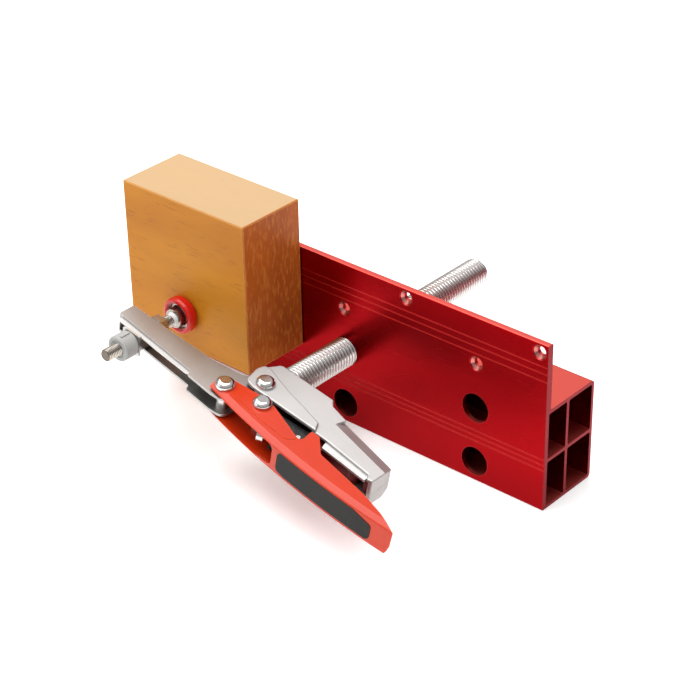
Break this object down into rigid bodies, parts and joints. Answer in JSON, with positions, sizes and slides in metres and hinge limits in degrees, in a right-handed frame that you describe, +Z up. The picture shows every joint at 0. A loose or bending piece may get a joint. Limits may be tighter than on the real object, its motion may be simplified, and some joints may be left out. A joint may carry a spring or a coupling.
{
  "type": "clamping fence",
  "caption": "Red aluminium fence for a bench with dog holes, carrying a toggle clamp on a threaded post that presses a wooden block against the fence's face.",
  "frame": {"origin": "centre of the fence's flat bottom face", "axes": "+X along the fence towards the clamp handle's tip, +Y from the clamping face to the back of the fence, +Z up"},
  "size_m": [0.3048, 0.2505, 0.1448],
  "materials": {
    "fence_anodised": "deep red satin anodising",
    "zinc_steel": "bright zinc plating",
    "clamp_steel": "satin nickel plating",
    "bright_steel": "bright nickel plating",
    "rivet_chrome": "polished chrome",
    "handle_paint": "orange-red powder coat",
    "grip_black": "fine textured black",
    "housing_black": "textured black",
    "knob_grey": "matte grey",
    "pad_rubber": "glossy red",
    "block_wood": "varnished hardwood, end grain to the side"
  },
  "bodies": {
    "fence": {"fence_rail": "fence_anodised"},
    "post": {"threaded_post": "zinc_steel"},
    "clamp_base": {"body_shell_top": "clamp_steel", "body_shell_bottom": "clamp_steel", "post_socket": "zinc_steel", "clutch_plates": "zinc_steel", "shell_spacers": "zinc_steel", "arm_pivot_rivet": "rivet_chrome", "arm_pivot_washers": "zinc_steel"},
    "arm": {"clamp_arm": "clamp_steel", "arm_liner": "bright_steel", "handle_pivot_sleeve": "bright_steel"},
    "lever": {"handle": "handle_paint", "grip_inlay": "grip_black", "handle_pivot_rivet": "rivet_chrome", "handle_pivot_washers": "zinc_steel", "link_pivot_rivet": "rivet_chrome", "link_pivot_washers": "zinc_steel"},
    "link": {"toggle_link": "zinc_steel", "link_end_pin": "bright_steel", "adjuster_housing": "housing_black", "housing_pin": "bright_steel"},
    "adjuster": {"adjusting_screw": "bright_steel"},
    "carriage": {"slide_block": "zinc_steel", "rear_washer": "zinc_steel", "rear_nut": "zinc_steel"},
    "knob": {"thumb_nut": "knob_grey"},
    "feed": {"spindle": "bright_steel"},
    "pad": {"pad_cap": "pad_rubber", "pad_dish": "rivet_chrome"},
    "workpiece": {"wood_block": "block_wood"}
  },
  "joints": [
    {"name": "post_slide", "type": "slide", "parent": "fence", "child": "post", "axis": [0, -1, 0], "range_m": [0, 0.12]},
    {"name": "clamp_swivel", "type": "hinge", "parent": "post", "child": "clamp_base", "pos_m": [0, -0.0787, 0.0508], "axis": [0, 1, 0], "range_deg": [-31, 4]},
    {"name": "arm_swing", "type": "hinge", "parent": "clamp_base", "child": "arm", "pos_m": [-0.00147, -0.0955, 0.0511], "axis": [0.1994, 0, 0.9799], "range_deg": [0, 45]},
    {"name": "handle_swing", "type": "hinge", "parent": "arm", "child": "lever", "pos_m": [-0.01646, -0.1139, 0.05415], "axis": [0.1994, 0, 0.9799], "range_deg": [-99, 0]},
    {"name": "link_swing", "type": "hinge", "parent": "lever", "child": "link", "pos_m": [0.00902, -0.1095, 0.04897], "axis": [0.1994, 0, 0.9799], "range_deg": [0, 81]},
    {"name": "adjuster_spin", "type": "hinge", "parent": "link", "child": "adjuster", "pos_m": [0.01813, -0.1209, 0.04711], "axis": [0.9165, 0.3539, -0.1865], "continuous": true},
    {"name": "carriage_slide", "type": "slide", "parent": "arm", "child": "carriage", "axis": [0.9799, 0, -0.1994], "range_m": [-0.004, 0.018]},
    {"name": "knob_spin", "type": "hinge", "parent": "carriage", "child": "knob", "pos_m": [-0.08751, -0.1237, 0.0686], "axis": [0, 1, 0], "continuous": true},
    {"name": "spindle_feed", "type": "slide", "parent": "carriage", "child": "feed", "axis": [0, -1, 0], "range_m": [0, 0.008]},
    {"name": "pad_tilt", "type": "hinge", "parent": "feed", "child": "pad", "pos_m": [-0.08751, -0.0823, 0.0686], "axis": [0.1994, 0, 0.9799], "range_deg": [-9, 0]},
    {"name": "block_lift", "type": "slide", "parent": "fence", "child": "workpiece", "axis": [0, 0, 1], "range_m": [0, 0.1]}
  ],
  "couplings": [
    {"joint": "handle_swing", "follows": "arm_swing", "ratio": -2.2},
    {"joint": "link_swing", "follows": "arm_swing", "ratio": 1.8},
    {"joint": "pad_tilt", "follows": "arm_swing", "ratio": -0.2}
  ]
}
